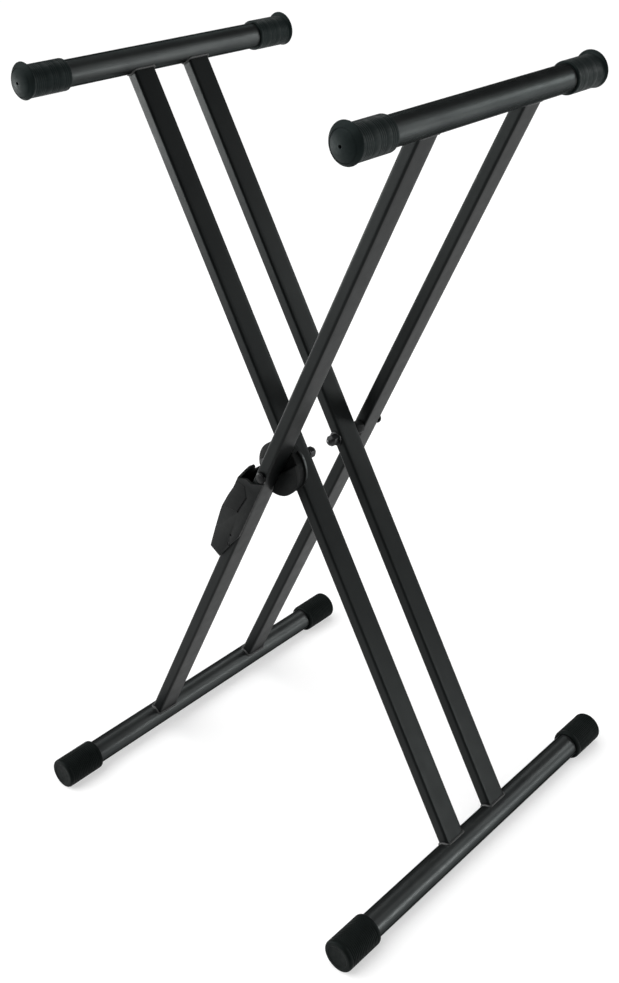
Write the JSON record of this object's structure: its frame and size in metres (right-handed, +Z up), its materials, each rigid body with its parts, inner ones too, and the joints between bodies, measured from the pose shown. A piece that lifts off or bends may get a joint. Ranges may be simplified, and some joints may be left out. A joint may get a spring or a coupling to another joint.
{
  "type": "folding keyboard stand",
  "caption": "Folding double-X stand for an electronic keyboard, with rubber-capped top and foot tubes and a squeeze lever that releases a toothed clutch.",
  "frame": {"origin": "on the floor, midway between the four feet", "axes": "+X from the left foot tube to the right one, +Y along the tubes from the front to the rear, +Z up"},
  "size_m": [0.5024, 0.5044, 0.9147],
  "materials": {
    "painted_steel": "satin black powder coat",
    "rubber": "matt black-green moulded rubber with fine ribs",
    "black_plastic": "satin moulded black plastic",
    "black_fastener": "black oxide steel, slightly glossy",
    "bare_steel": "stamped steel, lightly brushed"
  },
  "bodies": {
    "outer_frame": {"outer_arm_front": "painted_steel", "outer_arm_rear": "painted_steel", "top_tube_right": "painted_steel", "foot_tube_left": "painted_steel", "top_cap_right_front": "rubber", "top_cap_right_rear": "rubber", "foot_cap_left_front": "rubber", "foot_cap_left_rear": "rubber", "clutch_housing": "black_plastic", "rear_spacer": "black_plastic", "pivot_bolt_front": "black_fastener", "pivot_washer_front": "black_fastener", "domed_nut_front": "black_fastener", "pivot_bolt_rear": "black_fastener", "pivot_washer_rear": "black_fastener", "domed_nut_rear": "black_fastener", "housing_screw_upper": "black_fastener", "housing_screw_lower": "black_fastener", "pawl_pin": "black_fastener", "lever_pin": "black_fastener", "spring_rivet": "black_fastener", "lever_spring": "bare_steel"},
    "inner_frame": {"inner_arm_front": "painted_steel", "inner_arm_rear": "painted_steel", "top_tube_left": "painted_steel", "foot_tube_right": "painted_steel", "top_cap_left_front": "rubber", "top_cap_left_rear": "rubber", "foot_cap_right_front": "rubber", "foot_cap_right_rear": "rubber", "lock_gear": "bare_steel", "gear_screw_upper": "black_fastener", "gear_screw_lower": "black_fastener"},
    "lever": {"release_lever": "black_plastic"},
    "pawl": {"lock_pawl": "bare_steel"}
  },
  "joints": [
    {"name": "frame_fold", "type": "hinge", "parent": "outer_frame", "child": "inner_frame", "pos_m": [0, 0, 0.45752], "axis": [0, -1, 0], "range_deg": [-49.3, 40.7]},
    {"name": "lever_squeeze", "type": "hinge", "parent": "outer_frame", "child": "lever", "pos_m": [-0.05773, -0.08225, 0.35173], "axis": [0, 1, 0], "range_deg": [0, 5], "stiffness_Nm_per_rad": 8, "springref_deg": -2.86},
    {"name": "pawl_rock", "type": "hinge", "parent": "outer_frame", "child": "pawl", "pos_m": [-0.02548, -0.06095, 0.45846], "axis": [0, 1, 0], "range_deg": [-12.4, 0]}
  ],
  "couplings": [
    {"joint": "pawl_rock", "follows": "lever_squeeze", "ratio": -2.43}
  ]
}
